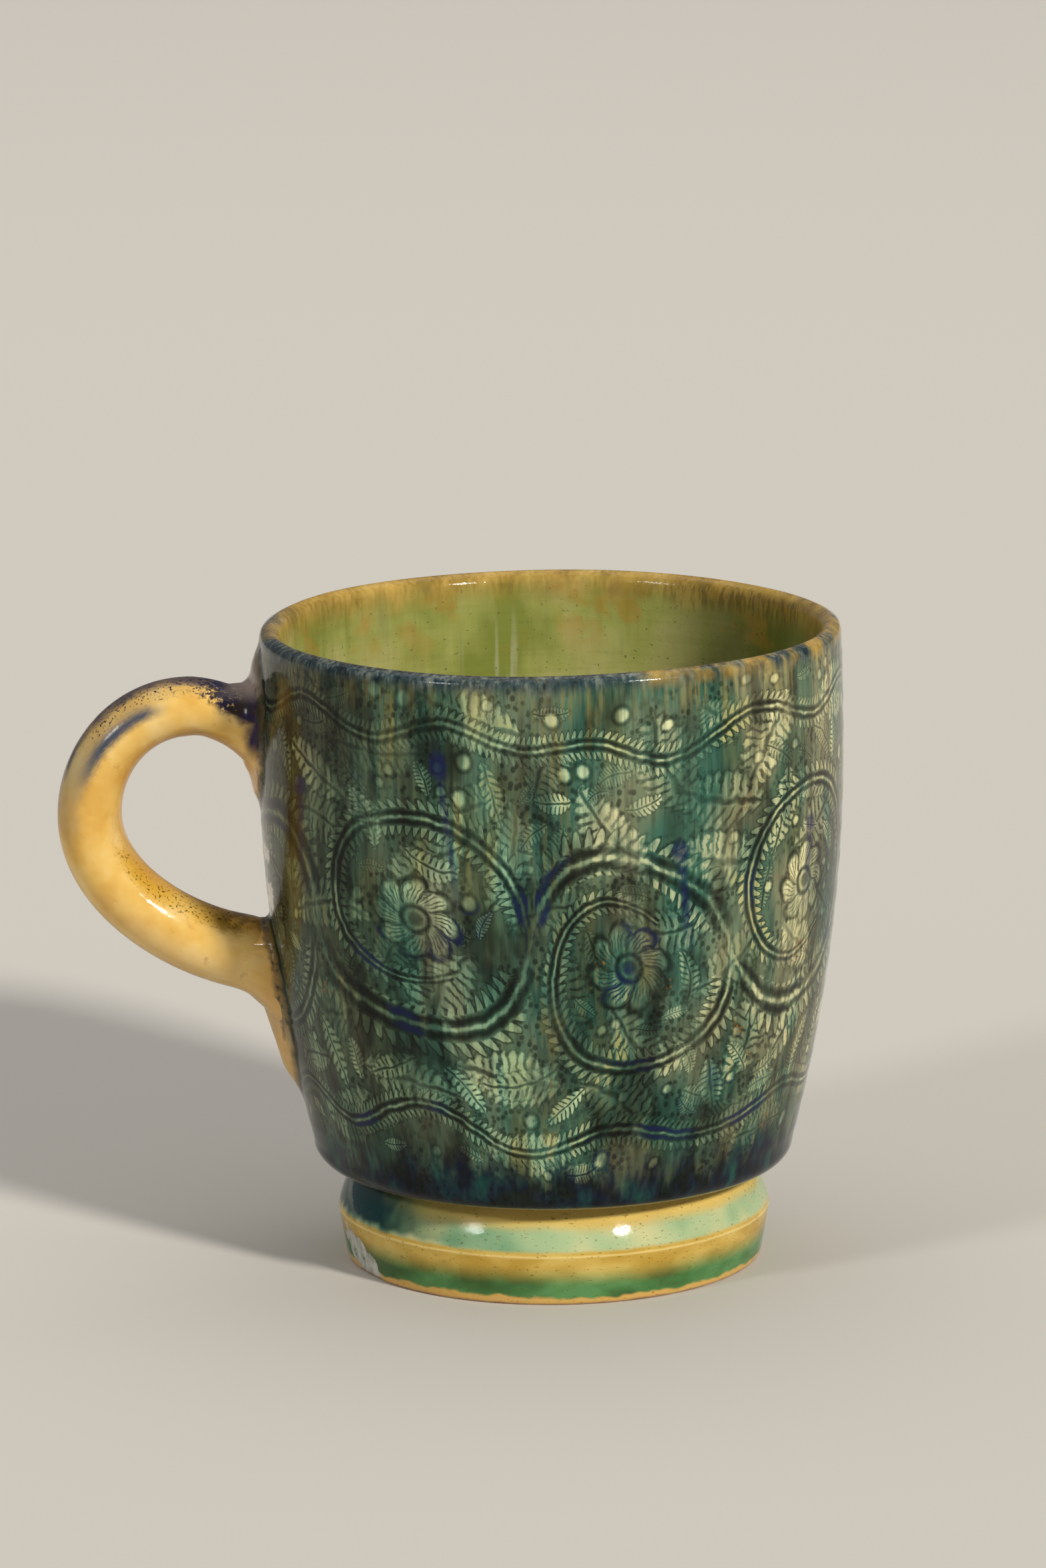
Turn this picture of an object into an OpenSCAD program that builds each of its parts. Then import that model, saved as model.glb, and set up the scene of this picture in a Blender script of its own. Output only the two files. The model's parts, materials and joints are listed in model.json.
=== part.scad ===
// Handled clay mug: a thrown cup on a thrown foot ring, with a pulled loop handle.
// The three clay members are luted together with slip. Millimetres, +Z up.
// The origin is on the cup's axis at the table, and the handle points towards -X.

/* [Cup] */
// Height of the cup from its underside to the top of the lip
cup_h = 82; // [76:0.5:100]
// Outside diameter at the lip
rim_d = 86.8; // [80:0.2:96]
// Outside diameter at the widest part of the wall
belly_d = 87.4; // [81:0.2:98]
// Height of the widest part above the cup's underside
belly_z = 63; // [52:0.5:70]
// Outside diameter at the heel, where the wall turns under
heel_d = 72.2; // [67:0.2:78]
// Radius of the turn at the heel
heel_round = 3.2; // [2:0.1:4.5]
// Thickness of the wall
wall = 3.8; // [2.8:0.1:5]
// Thickness of the rounded lip
lip = 3.2; // [2.4:0.1:4.6]
// Height over which the wall thins to the lip
lip_zone = 14; // [6:0.5:24]
// Thickness of the floor
floor_t = 5; // [3.5:0.1:7]
// Radius of the inside corner between wall and floor
well_round = 10; // [4:0.5:14]

/* [Foot] */
// Height of the foot ring
foot_h = 14.4; // [12:0.2:18]
// Outside diameter where the foot meets the table
foot_d = 63; // [58:0.2:66]
// Outside diameter of the ridge round the foot
ridge_d = 65.4; // [63:0.2:70]
// Height of the ridge above the table
ridge_z = 7.6; // [6:0.1:9]
// Outside diameter of the neck under the cup
neck_d = 59.2; // [56:0.2:62]
// How far the upper moulding swells out of a straight slope
moulding_swell = 0.4; // [0:0.1:1]
// Radius of the edge at the table
foot_edge = 0.7; // [0.3:0.1:1.2]
// Thickness of the ring at the table
foot_wall = 6; // [4:0.1:8]
// Thickness of the ring at the neck
neck_wall = 5.7; // [4:0.1:8]

/* [Handle] */
// Height of the lip's top above the handle's highest centre point
crest_drop = 12.4; // [11:0.2:14]
// Distance from the wall to the handle's highest centre point
crest_out = 10.2; // [9:0.2:13]
// Distance from the wall to the handle's furthest centre point
loop_out = 25.2; // [22:0.2:30]
// Drop from the highest to the furthest centre point
loop_drop = 16.4; // [14:0.2:18]
// Drop from the highest centre point to the lower end
handle_drop = 37.6; // [34:0.2:40]
// Thickness of the handle at its crest
top_t = 8.5; // [7:0.1:10]
// Width of the handle at its crest
top_w = 11; // [8:0.1:14]
// Thickness of the handle at its lower end
low_t = 11.2; // [8:0.1:12]
// Width of the handle at its lower end
low_w = 12.6; // [9:0.1:15]

/* [Handle roots] */
// Distance from the wall at which the upper root starts to spread
upper_stub = 6.5; // [5:0.1:8]
// Height of the upper root's seat on the wall
upper_seat_h = 19.4; // [15:0.2:20]
// Width of the upper root's seat on the wall
upper_seat_w = 17; // [13:0.2:22]
// Drop from the handle's crest to the middle of the upper seat
upper_seat_drop = 3; // [2:0.1:4]
// Distance from the wall at which the lower root starts to spread
lower_stub = 4.6; // [3:0.1:6]
// Height of the lower root's seat on the wall
lower_seat_h = 21.6; // [17:0.2:22]
// Width of the lower root's seat on the wall
lower_seat_w = 16; // [13:0.2:22]
// Drop from the lower end to the middle of the lower seat
lower_seat_drop = 6.2; // [4.5:0.1:6.5]

/* [Joints] */
// Thickness of the luting slip between two clay members
slip = 0.6; // [0.4:0.1:1]
// Gap that clears the handle's flat facets from the curved slip
seat_gap = 0.05; // [0.03:0.01:0.1]

/* [Hidden] */

$fn = 128;
WALL_STEPS = 32;
ARC_STEPS = 12;
LOOP_STEPS = 14;
ROOT_STEPS = 7;
SEAT_RINGS = 4;
SIDES = 36;

// Radii and heights that follow from the driving sizes
rim_r = rim_d / 2;
belly_r = belly_d / 2;
heel_r = heel_d / 2;
foot_r = foot_d / 2;
ridge_r = ridge_d / 2;
neck_r = neck_d / 2;
lip_r = lip / 2;
lip_z = cup_h - lip_r;
cup_z = foot_h + slip;
recess_r = foot_r - foot_wall;
recess_top_r = neck_r - neck_wall;
crest_z = cup_z + cup_h - crest_drop;
low_z = crest_z - handle_drop;
upper_seat_z = crest_z - upper_seat_drop;
lower_seat_z = low_z - lower_seat_drop;
loop_z = crest_z - loop_drop;

// Shares that shape the handle's curves
// Length of a curve's handles beside the radius of the quarter circle that it stands for
quarter_share = 0.5523;
// Rise of the upper stub beside its reach, and fall of the lower run beside its reach
upper_slope_share = 0.15;
lower_slope_share = 0.2;
// Length of the two handles of the lower run beside the height and reach that it covers
lower_fall_share = 0.5;
lower_reach_share = 0.46;
// Lift of a root's hollow off the wall beside the slip's thickness
hollow_lift_share = 1.2;
// Pull of a root's hollow into its corner, outside and inside the loop; 1 is a plain curve
upper_pull_shares = [1.6, 1];
lower_pull_shares = [1, 1];

function mix(a, b, t) = a + (b - a) * t;
function clamp01(t) = min(1, max(0, t));
function bezier2(p, q, r, t) = mix(mix(p, q, t), mix(q, r, t), t);
function pulled(p, q, r, pull, t) = ((1 - t) * (1 - t) * p + 2 * t * (1 - t) * pull * q + t * t * r)
    / ((1 - t) * (1 - t) + 2 * t * (1 - t) * pull + t * t);
function bezier3(p, q, r, s, t) = mix(bezier2(p, q, r, t), bezier2(q, r, s, t), t);
function arc(centre, radius, from, to) =
    [for (i = [0:ARC_STEPS]) centre + radius * [cos(mix(from, to, i / ARC_STEPS)), sin(mix(from, to, i / ARC_STEPS))]];
function reversed(list) = [for (i = [len(list) - 1:-1:0]) list[i]];

// Outside radius of the cup's wall at a height above the cup's underside
function cup_out(z) = z < belly_z
    ? belly_r - (belly_r - heel_r) * pow((belly_z - z) / (belly_z - heel_round), 2)
    : belly_r - (belly_r - rim_r) * pow((z - belly_z) / (lip_z - belly_z), 2);

// Inside radius of the cup's wall, which thins towards the lip
function cup_in(z) = cup_out(z) - mix(wall, lip, pow(clamp01((z - lip_z + lip_zone) / lip_zone), 2));

// Outside radius of the cup's wall at a height above the table
function wall_r(z) = cup_out(z - cup_z);

// Heights at which the wall's outline has a point
wall_zs = [for (i = [0:WALL_STEPS]) mix(heel_round, lip_z, i / WALL_STEPS)];

// The inside corner leaves the wall at the wall's own slope
well_slope = atan(2 * (belly_r - heel_r) * (belly_z - floor_t - well_round) / pow(belly_z - heel_round, 2));
well_z = floor_t + well_round * (1 - sin(well_slope));
well_centre = [cup_in(well_z) - well_round * cos(well_slope), floor_t + well_round];
inner_zs = [for (i = [0:WALL_STEPS]) mix(well_z, lip_z, i / WALL_STEPS)];

function cup_outline() = concat(
    [[0, 0]],
    arc([heel_r - heel_round, heel_round], heel_round, -90, 0),
    [for (z = wall_zs) [cup_out(z), z]],
    arc([rim_r - lip_r, lip_z], lip_r, 0, 180),
    [for (z = reversed(inner_zs)) [cup_in(z), z]],
    arc(well_centre, well_round, -well_slope, -90),
    [[0, floor_t]]
);

module cup_body() {
    color("seagreen") translate([0, 0, cup_z]) rotate_extrude() polygon(cup_outline());
}

// The moulding swells outwards, square to the straight slope from ridge to neck
moulding_run = [neck_r - ridge_r, foot_h - ridge_z];
moulding_bow = [moulding_run[1], -moulding_run[0]] / norm(moulding_run) * 2 * moulding_swell;
moulding_peak = mix([ridge_r, ridge_z], [neck_r, foot_h], 0.5) + moulding_bow;

function foot_outline() = concat(
    [[recess_r, 0]],
    arc([foot_r - foot_edge, foot_edge], foot_edge, -90, 0),
    [for (i = [0:ARC_STEPS]) bezier2([ridge_r, ridge_z], moulding_peak, [neck_r, foot_h], i / ARC_STEPS)],
    [[recess_top_r, foot_h]]
);

module foot_ring() {
    color("goldenrod") rotate_extrude() polygon(foot_outline());
}

module foot_slip_seam() {
    color("wheat") translate([0, 0, foot_h]) difference() {
        cylinder(h = slip, r = neck_r);
        translate([0, 0, -slip]) cylinder(h = 3 * slip, r = recess_top_r);
    }
}

// The handle's centre line, as [distance from the axis, height]
upper_end_r = wall_r(crest_z) + upper_stub;
lower_end_r = wall_r(low_z) + lower_stub;
crest_r = wall_r(crest_z) + crest_out;
loop_r = belly_r + loop_out;
upper_end = [upper_end_r, crest_z - upper_slope_share * (crest_r - upper_end_r)];
crest = [crest_r, crest_z];
furthest = [loop_r, loop_z];
lower_end = [lower_end_r, low_z];
lower_reach = lower_reach_share * (loop_r - lower_end_r);

function upper_run(t) = bezier2(upper_end, mix([upper_end_r, crest_z], crest, 0.5), crest, t);
function outer_turn(t) = bezier3(
    crest, crest + [quarter_share * (loop_r - crest_r), 0],
    furthest + [0, quarter_share * loop_drop], furthest, t);
function lower_run(t) = bezier3(
    furthest, furthest - [0, lower_fall_share * (loop_z - low_z)],
    lower_end + lower_reach * [1, lower_slope_share], lower_end, t);

centre_line = concat(
    [for (i = [0:LOOP_STEPS - 1]) upper_run(i / LOOP_STEPS)],
    [for (i = [0:LOOP_STEPS - 1]) outer_turn(i / LOOP_STEPS)],
    [for (i = [0:LOOP_STEPS]) lower_run(i / LOOP_STEPS)]
);
LAST = len(centre_line) - 1;

// Direction of the centre line at one of its points, and the direction square to it, out of the loop
function heading(i) = let (d = centre_line[min(i + 1, LAST)] - centre_line[max(i - 1, 0)]) d / norm(d);
function outward(i) = [-heading(i)[1], heading(i)[0]];

// A point at a distance from the axis in the handle's own plane, moved sideways out of that plane
function in_space(p, side) = [-p[0], side, p[1]];

// The oval section round one point of the centre line, starting at the outside of the loop
function section(i) = let (
    share = pow(i / LAST, 2),
    t = mix(top_t, low_t, share) / 2,
    w = mix(top_w, low_w, share) / 2
) [for (k = [0:SIDES - 1]) in_space(centre_line[i] + outward(i) * t * cos(360 * k / SIDES), w * sin(360 * k / SIDES))];

// A point on the slip over the cup's wall, and the same point lifted off it
function on_slip(side, z, lift) = [-sqrt(pow(wall_r(z) + slip + lift, 2) - side * side), side, z];

// The oval outline of a root's seat as [side, height], shrunk by a scale; up is 1 where the loop's outside is above
function seat_outline(z, h, w, up, scale) =
    [for (k = [0:SIDES - 1]) scale * [w / 2 * sin(360 * k / SIDES), up * h / 2 * cos(360 * k / SIDES)] + [0, z]];

function seat(z, h, w, up, scale) =
    [for (p = seat_outline(z, h, w, up, scale)) on_slip(p[0], p[1], seat_gap)];

// Where a straight continuation of the handle would meet the wall, lifted to leave the root hollow
function landing(p, i) = let (
    reach = max(0, -p[0] - wall_r(p[2])),
    z = p[2] - reach * heading(i)[1] / heading(i)[0]
) on_slip(p[1], z, hollow_lift_share * slip);

// Rings that spread from a section of the handle to the root's seat
function root(i, seat_ring, pulls) = let (ring = section(i)) [for (j = [1:ROOT_STEPS]) [for (k = [0:SIDES - 1])
    let (pull = mix(pulls[1], pulls[0], (1 + cos(360 * k / SIDES)) / 2))
    pulled(ring[k], landing(ring[k], i), seat_ring[k], pull, j / ROOT_STEPS)]];

upper_seat = seat(upper_seat_z, upper_seat_h, upper_seat_w, 1, 1);
lower_seat = seat(lower_seat_z, lower_seat_h, lower_seat_w, -1, 1);

// Rings that close a seat, from its middle outwards
function seat_cap(z, h, w, up) = [for (j = [1:SEAT_RINGS - 1]) seat(z, h, w, up, j / SEAT_RINGS)];

handle_rings = concat(
    seat_cap(upper_seat_z, upper_seat_h, upper_seat_w, 1),
    reversed(root(0, upper_seat, upper_pull_shares)),
    [for (i = [0:LAST]) section(i)],
    root(LAST, lower_seat, lower_pull_shares),
    reversed(seat_cap(lower_seat_z, lower_seat_h, lower_seat_w, -1))
);

// A closed skin over a list of rings, with one point at the middle of each end
module skin(rings, first, last) {
    n = len(rings);
    sides = len(rings[0]);
    points = concat([first], [for (ring = rings) each ring], [last]);
    function at(i, k) = 1 + i * sides + k % sides;
    faces = concat(
        [for (k = [0:sides - 1]) [0, at(0, k), at(0, k + 1)]],
        [for (i = [0:n - 2], k = [0:sides - 1]) each [
            [at(i, k), at(i + 1, k), at(i + 1, k + 1)],
            [at(i, k), at(i + 1, k + 1), at(i, k + 1)]
        ]],
        [for (k = [0:sides - 1]) [n * sides + 1, at(n - 1, k + 1), at(n - 1, k)]]
    );
    polyhedron(points, faces);
}

module handle() {
    color("orange") skin(
        handle_rings, on_slip(0, upper_seat_z, seat_gap), on_slip(0, lower_seat_z, seat_gap));
}

// The coat of slip on the outside of the cup's wall
module slip_coat() {
    translate([0, 0, cup_z]) rotate_extrude() polygon(concat(
        [for (z = wall_zs) [cup_out(z), z]],
        [for (z = reversed(wall_zs)) [cup_out(z) + slip, z]]
    ));
}

// The slip under one root of the handle: the coat, kept inside the root's seat
module root_slip(z, h, w, up) {
    intersection() {
        slip_coat();
        rotate([90, 0, -90]) linear_extrude(belly_d) polygon(seat_outline(z, h, w, up, 1));
    }
}

module upper_slip_seam() {
    color("wheat") root_slip(upper_seat_z, upper_seat_h, upper_seat_w, 1);
}

module lower_slip_seam() {
    color("wheat") root_slip(lower_seat_z, lower_seat_h, lower_seat_w, -1);
}

cup_body();
foot_ring();
handle();
foot_slip_seam();
upper_slip_seam();
lower_slip_seam();
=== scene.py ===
"""Looks of a handled clay mug: hand-thrown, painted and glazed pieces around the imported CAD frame."""
import json
import math

import bmesh
import bpy
import numpy as np
from mathutils import Matrix, Vector, kdtree
from mathutils.bvhtree import BVHTree


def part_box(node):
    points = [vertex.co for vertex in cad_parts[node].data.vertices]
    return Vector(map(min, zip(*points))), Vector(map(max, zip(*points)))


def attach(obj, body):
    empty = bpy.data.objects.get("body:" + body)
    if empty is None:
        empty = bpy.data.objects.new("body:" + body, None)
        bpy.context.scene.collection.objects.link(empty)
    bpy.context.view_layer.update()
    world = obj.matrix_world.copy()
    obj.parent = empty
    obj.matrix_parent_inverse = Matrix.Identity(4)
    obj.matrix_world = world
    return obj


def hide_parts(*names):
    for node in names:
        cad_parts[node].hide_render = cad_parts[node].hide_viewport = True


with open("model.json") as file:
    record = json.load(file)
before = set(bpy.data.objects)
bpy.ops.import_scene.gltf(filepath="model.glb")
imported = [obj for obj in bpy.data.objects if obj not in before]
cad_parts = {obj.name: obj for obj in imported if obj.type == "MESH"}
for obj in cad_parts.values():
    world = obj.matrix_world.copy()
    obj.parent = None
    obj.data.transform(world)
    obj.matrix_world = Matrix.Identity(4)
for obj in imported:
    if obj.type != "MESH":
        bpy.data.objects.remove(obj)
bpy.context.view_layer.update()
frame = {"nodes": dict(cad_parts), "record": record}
scene = bpy.context.scene

# Units and sizes that the frame gives
MM = 0.001
cup_low, cup_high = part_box("cup_body")
foot_low, foot_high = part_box("foot_ring")
belly_r = cup_high.y
far_away = 2 * belly_r
girth = 2 * math.pi * belly_r / MM
girth_r = belly_r / MM

# Counts: rows and columns of the meshes, and steps and tries of the drawing
CUP_COLUMNS = 576
CUP_OUTER_ROWS = 124
CUP_INNER_ROWS = 30
FOOT_COLUMNS = 384
FOOT_ROWS = 30
DISC_ROWS = 6
HANDLE_SUBDIVISIONS = 2
FOOT_INNER_STEP = 6
RIDGE_PROBES = 400
BEAD_ROWS = 9
PAD_ROWS = 34
PAD_COLUMNS = 144
VINE_WAVES = 4
VINE_STEPS = 90
FILL_TRIES = 900
DRIPS = 9

# How far the rows of a mesh gather at its ends, from 0 to 1
OUTER_EASE = 0.3
INNER_EASE = 0.8
FOOT_EASE = 0.6

# Past every distance that the drawing asks about
NOWHERE = 9

# A hair's breadth that keeps samples off the edges of a surface
SKIN = 0.02 * MM

# Every random choice comes from this one seeded source
draws = np.random.default_rng(11)


# Reading the CAD surfaces
def surface(cad_node):
    mesh = frame["nodes"][cad_node].data
    return BVHTree.FromPolygons([v.co for v in mesh.vertices], [p.vertices for p in mesh.polygons])


def outer_side(tree, zs):
    """Points [radius, height] on the outer side of a surface."""
    return [[tree.ray_cast(Vector((far_away, 0, z)), Vector((-1, 0, 0)))[0].x, z] for z in zs]


def inner_side(tree, zs):
    return [[tree.ray_cast(Vector((0, 0, z)), Vector((1, 0, 0)))[0].x, z] for z in zs]


def eased(low, high, count, ease):
    """Heights from low to high, closer together at both ends as ease goes from 0 to 1."""
    t = np.linspace(0, 1, count)
    return low + (high - low) * (t * (1 - ease) + ease * (1 - np.cos(np.pi * t)) / 2)


# Meshes
def add_object(name, data):
    made = bpy.data.objects.new(name, data)
    scene.collection.objects.link(made)
    return made


def add_smooth(name, mesh):
    mesh.polygons.foreach_set("use_smooth", [True] * len(mesh.polygons))
    return add_object(name, mesh)


def add_mesh(name, points, faces):
    mesh = bpy.data.meshes.new(name)
    mesh.from_pydata(points, [], faces)
    return add_smooth(name, mesh)


def revolve(name, outline, columns, shift, closed):
    """Turns an outline of [radius, height] about Z and shifts its points by hand-made unevenness. An open
    outline starts and ends on the axis."""
    theta = np.linspace(-np.pi, np.pi, columns, endpoint=False)
    rings = np.array(outline if closed else outline[1:-1])
    turn, row = np.meshgrid(theta, np.arange(len(rings)))
    radius, height = shift(turn, rings[row, 0], rings[row, 1])
    points = np.stack([radius * np.sin(turn), -radius * np.cos(turn), height], -1).reshape(-1, 3)
    at = np.arange(len(rings) * columns).reshape(len(rings), columns)
    beside = np.roll(at, -1, 1)
    below, above = (at, np.roll(at, -1, 0)) if closed else (at[:-1], at[1:])
    right, right_above = (beside, np.roll(beside, -1, 0)) if closed else (beside[:-1], beside[1:])
    faces = np.stack([below, right, right_above, above], -1).reshape(-1, 4).tolist()
    points = points.tolist()
    if not closed:
        first, last = len(points), len(points) + 1
        points += [[0, 0, outline[0][1]], [0, 0, outline[-1][1]]]
        faces += [[first, b, a] for a, b in zip(at[0].tolist(), beside[0].tolist())]
        faces += [[last, a, b] for a, b in zip(at[-1].tolist(), beside[-1].tolist())]
    return add_mesh(name, points, faces)


def points_of(piece):
    flat = np.zeros(len(piece.data.vertices) * 3)
    piece.data.vertices.foreach_get("co", flat)
    return flat.reshape(-1, 3)


def keep_numbers(piece, name, values):
    """Stores one number, or a triple of them, at every vertex for the materials to read."""
    values = np.asarray(values, np.float32)
    kind, field = ("FLOAT", "value") if values.ndim == 1 else ("FLOAT_VECTOR", "vector")
    piece.data.attributes.new(name, kind, "POINT").data.foreach_set(field, values.ravel())


# Shader fields: numbers over a surface, written as sums
GLAZE_SPECULAR = 0.16


class Field:
    def __init__(self, socket):
        self.socket = socket

    def __add__(self, other):
        return calc("ADD", self, other)

    def __sub__(self, other):
        return calc("SUBTRACT", self, other)

    def __rsub__(self, other):
        return calc("SUBTRACT", other, self)

    def __mul__(self, other):
        return calc("MULTIPLY", self, other)

    def __truediv__(self, other):
        return calc("DIVIDE", self, other)

    def __abs__(self):
        return calc("ABSOLUTE", self)

    __radd__ = __add__
    __rmul__ = __mul__


class Material:
    """A node material under construction; the helpers below add to the one made last."""

    def __init__(self, name):
        self.data = bpy.data.materials.new(name)
        self.data.use_nodes = True
        self.tree = self.data.node_tree
        self.shader = self.tree.nodes["Principled BSDF"]
        Material.now = self


def node(kind, **settings):
    made = Material.now.tree.nodes.new(kind)
    for key, value in settings.items():
        setattr(made, key, value)
    return made


def put(socket, value):
    """Links a field to a socket, or sets a number or a colour code on it."""
    if isinstance(value, Field):
        Material.now.tree.links.new(value.socket, socket)
    else:
        socket.default_value = rgb(value) if isinstance(value, str) else value


def made_of(kind, inputs, **settings):
    """The first output of a new node, with these inputs by name or number."""
    made = node(kind, **settings)
    for key, value in inputs.items():
        put(made.inputs[key], value)
    return Field(made.outputs[0])


def calc(operation, *values):
    return made_of("ShaderNodeMath", dict(enumerate(values)), operation=operation)


def highest(*fields):
    top = fields[0]
    for field in fields[1:]:
        top = calc("MAXIMUM", top, field)
    return top


def wave(field):
    return calc("SINE", field * (2 * math.pi))


def rise(field, low, high):
    """0 below low and 1 above high, with a soft step between."""
    step = {"Value": field, "From Min": low, "From Max": high}
    return made_of("ShaderNodeMapRange", step, interpolation_type="SMOOTHSTEP")


def fall(field, low, high):
    return 1 - rise(field, low, high)


def band(field, low, high, soft):
    return rise(field, low - soft, low + soft) * fall(field, high - soft, high + soft)


def numbers(name):
    return Field(node("ShaderNodeAttribute", attribute_name=name).outputs["Fac"])


def triple(name):
    return split(Field(node("ShaderNodeAttribute", attribute_name=name).outputs["Vector"]))


def place():
    """The point on the piece, in millimetres."""
    return scaled(Field(node("ShaderNodeTexCoord").outputs["Object"]), 1 / MM)


def stretched(point, x, y, z):
    return made_of("ShaderNodeVectorMath", {0: point, 1: (x, y, z)}, operation="MULTIPLY")


def split(point):
    made = node("ShaderNodeSeparateXYZ")
    put(made.inputs[0], point)
    return [Field(socket) for socket in made.outputs]


def noise(point, size, detail, roughness=0.55):
    """Soft noise from 0 to 1, with lumps of about this size in millimetres."""
    grain = {"Vector": point, "Scale": 1 / size, "Detail": detail, "Roughness": roughness}
    return made_of("ShaderNodeTexNoise", grain)


def streaky(point, squeeze, size, detail):
    """Noise whose lumps are drawn out along Z, as Z is squeezed to this share."""
    return noise(stretched(point, 1, 1, squeeze), size, detail)


def specked(point, size, low, high):
    """1 in the middle of round specks, about this far apart in millimetres."""
    return fall(made_of("ShaderNodeTexVoronoi", {"Vector": point, "Scale": 1 / size}), low, high)


def rgb(code):
    """A colour written as on screen, turned into the linear values that shaders use."""
    parts = [int(code[i:i + 2], 16) / 255 for i in (1, 3, 5)]
    return tuple(c / 12.92 if c < 0.04045 else ((c + 0.055) / 1.055) ** 2.4 for c in parts) + (1,)


def paint(under, over, mask):
    made = node("ShaderNodeMix", data_type="RGBA")
    put(made.inputs["Factor"], mask)
    put(made.inputs["A"], under)
    put(made.inputs["B"], over)
    return Field(made.outputs["Result"])


def coats(colour, *layers):
    """Paints layers one over another, each of them a colour and a mask."""
    for over, mask in layers:
        colour = paint(colour, over, mask)
    return colour


def scaled(colour, amount):
    return made_of("ShaderNodeVectorMath", {0: colour, "Scale": amount}, operation="SCALE")


def ramp(field, stops):
    """Colours by a field: stops are colour codes at places from 0 to 1."""
    made = node("ShaderNodeValToRGB")
    put(made.inputs["Fac"], field)
    elements = made.color_ramp.elements
    while len(elements) < len(stops):
        elements.new(0.5)
    for element, (at, colour) in zip(elements, stops.items()):
        element.position = at
        element.color = rgb(colour)
    return Field(made.outputs["Color"])


def finish(colour, roughness, relief, depth):
    """Sets a material's colour, its roughness and a bump whose depth is in metres."""
    shader = Material.now.shader
    put(shader.inputs["Base Color"], colour)
    put(shader.inputs["Roughness"], roughness)
    put(shader.inputs["Specular IOR Level"], GLAZE_SPECULAR)
    put(shader.inputs["Normal"], made_of("ShaderNodeBump", {"Distance": depth, "Height": relief}))
    return Material.now.data


# Throwing the clay: outlines from the CAD surfaces, with hand-made unevenness
def path_along(outline):
    """Length along an outline at each of its points, in millimetres."""
    steps = np.hypot(*np.diff(np.array(outline), axis=0).T)
    return np.append(0, np.cumsum(steps)) / MM


def cup_outline():
    tree = surface("cup_body")
    floor_z = tree.ray_cast(Vector((0, 0, cup_high.z + far_away)), Vector((0, 0, -1)))[0].z
    outer = outer_side(tree, eased(cup_low.z + SKIN, cup_high.z - SKIN, CUP_OUTER_ROWS, OUTER_EASE))
    inner = inner_side(tree, eased(cup_high.z - SKIN, floor_z + SKIN, CUP_INNER_ROWS, INNER_EASE))
    shares = np.linspace(0, 1, DISC_ROWS, endpoint=False)
    under = [[outer[0][0] * share, cup_low.z] for share in shares]
    floor = [[inner[-1][0] * share, floor_z] for share in shares[::-1]]
    return under + outer + inner + floor


# Waves round the axis, each with a depth in millimetres, a count and a phase
quarter = math.pi / 2
cup_waves = (0.15, 2, 2.6), (0.08, 3, 4.7)
lip_waves = (0.3, 1, -0.9), (0.14, 2, 0.4 - quarter), (0.06, 5, -quarter)
foot_waves = (0.1, 2, 1.1), (0.05, 3, 0)
bead_waves = (0.12, 7, 1 - quarter), (0.1, 17, -quarter), (0.06, 31, 2 - quarter)
wide_ring = 0.03
fine_ring = 0.02


def waves(turn, terms):
    return sum(depth * np.cos(count * turn + phase) for depth, count, phase in terms)


def dips(turn, terms):
    """The same, lowered until no crest is above zero."""
    return waves(turn, terms) - sum(depth for depth, count, phase in terms)


def cup_shift(turn, radius, height):
    """Ovality, throwing rings and an uneven lip, all inwards and downwards."""
    up = (height - cup_low.z) / (cup_high.z - cup_low.z)
    rings = wide_ring * (np.sin(height / MM * 1.25 + 0.7 * np.sin(turn)) - 1)
    rings += fine_ring * (np.sin(height / MM * 2.9 - turn) - 1)
    wall = np.clip(radius / belly_r, 0, 1) ** 2
    inwards = wall * (dips(turn, cup_waves) * up ** 2 + rings)
    return radius + MM * inwards, height + MM * dips(turn, lip_waves) * up ** 6


cup_line = cup_outline()
cup = revolve("cup", cup_line, CUP_COLUMNS, cup_shift, closed=False)
cup_path = path_along(cup_line)
lip_row = max(range(len(cup_line)), key=lambda row: cup_line[row][1])
from_lip = cup_path - cup_path[lip_row]
heel_from_lip = from_lip[DISC_ROWS]
keep_numbers(cup, "lip", np.append(np.repeat(from_lip[1:-1], CUP_COLUMNS), from_lip[[0, -1]]))
wall_line = np.array(cup_line[DISC_ROWS:lip_row + 1])
handle_turn = -quarter


def wall_radius(z):
    """Radius of the uneven wall below the handle."""
    radius, height = cup_shift(handle_turn, wall_line[:, 0], wall_line[:, 1])
    return np.interp(z, height, radius)


def foot_outline():
    tree = surface("foot_ring")
    probe = np.linspace(foot_low.z + SKIN, foot_high.z - SKIN, RIDGE_PROBES)
    ridge_z = max(outer_side(tree, probe), key=lambda point: point[0])[1]
    lower = eased(foot_low.z + SKIN, ridge_z, FOOT_ROWS, FOOT_EASE)
    upper = eased(ridge_z, foot_high.z - SKIN, FOOT_ROWS, FOOT_EASE)[1:]
    outer = outer_side(tree, np.append(lower, upper))
    inner = inner_side(tree, np.append(upper[::-FOOT_INNER_STEP], lower[::-FOOT_INNER_STEP]))
    outer[0][1] = foot_low.z
    inner[-1][1] = foot_low.z
    return outer, inner


def foot_shift(turn, radius, height):
    """Slight ovality, and a flake lost from the lower band."""
    inwards = dips(turn, foot_waves) - flake_depth * flake(turn, radius, height)
    return radius + MM * inwards, height


def flake(turn, radius, height):
    """1 where the glaze and some clay have flaked off, with a ragged edge."""
    across = (turn - flake_turn) * radius / MM
    up = (height - flake_z) / MM + flake_slope * across
    ragged = 0.5 * np.sin(across * 2.1 + up) + 0.4 * np.sin(up * 2.7 - across)
    return 1 / (1 + np.exp(3 * (np.hypot(across / flake_w, up / flake_h) * 4 - 4 + ragged)))


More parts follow.
